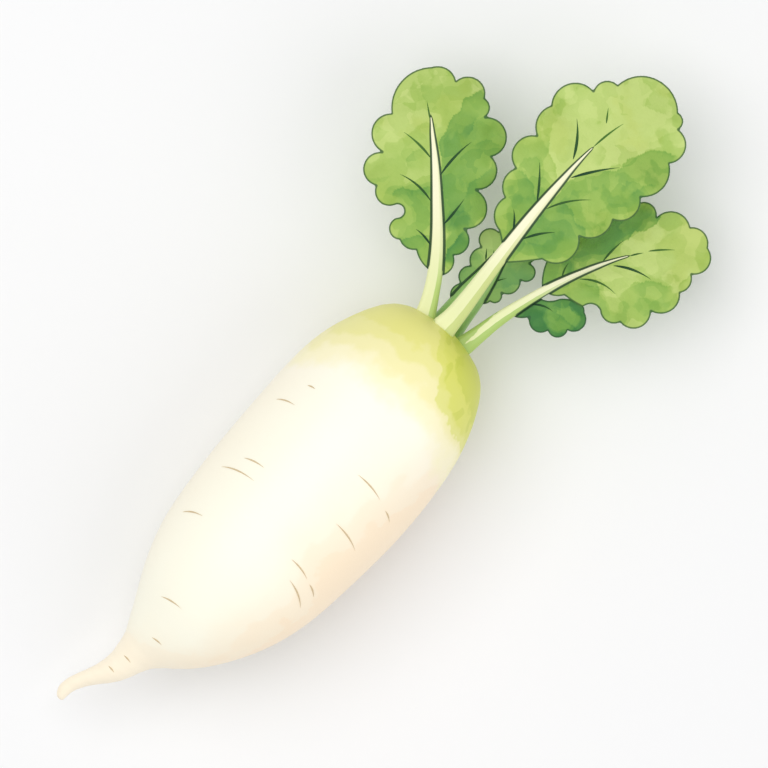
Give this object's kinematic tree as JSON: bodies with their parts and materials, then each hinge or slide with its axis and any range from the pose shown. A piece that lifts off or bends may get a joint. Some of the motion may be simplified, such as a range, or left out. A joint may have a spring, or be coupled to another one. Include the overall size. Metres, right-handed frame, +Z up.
{
  "type": "white radish with leaves",
  "caption": "Stout white radish with a green shoulder, a thin curled tail and lobed leaves on pale stalks, lying on its side.",
  "frame": {"origin": "middle of the small flat spot under the root, on the surface that it rests on", "axes": "+X along the root from its tail to its crown and leaves, +Y to the side of the left leaf, +Z up"},
  "size_m": [0.4102, 0.1685, 0.0938],
  "materials": {
    "root_skin": "smooth thin skin with a soft gloss, cream white, turning yellow green at the shoulder",
    "stalk_skin": "pale yellow green stalk and midrib, faintly ribbed along its length, soft gloss",
    "stalk_green": "darker green stalk of the young leaf, soft gloss",
    "leaf_green": "thin matt leaf blade in mottled light and mid green with dark veins",
    "leaf_dark_green": "thin matt leaf blade in dark green with darker veins"
  },
  "bodies": {
    "root": {"root": "root_skin", "leaf_left_stalk": "stalk_skin", "leaf_left_blade": "leaf_green", "leaf_middle_stalk": "stalk_skin", "leaf_middle_blade": "leaf_green", "leaf_right_stalk": "stalk_skin", "leaf_right_blade": "leaf_green", "leaf_right_leaflet": "leaf_dark_green", "leaf_inner_stalk": "stalk_green", "leaf_inner_blade": "leaf_dark_green"}
  },
  "joints": []
}
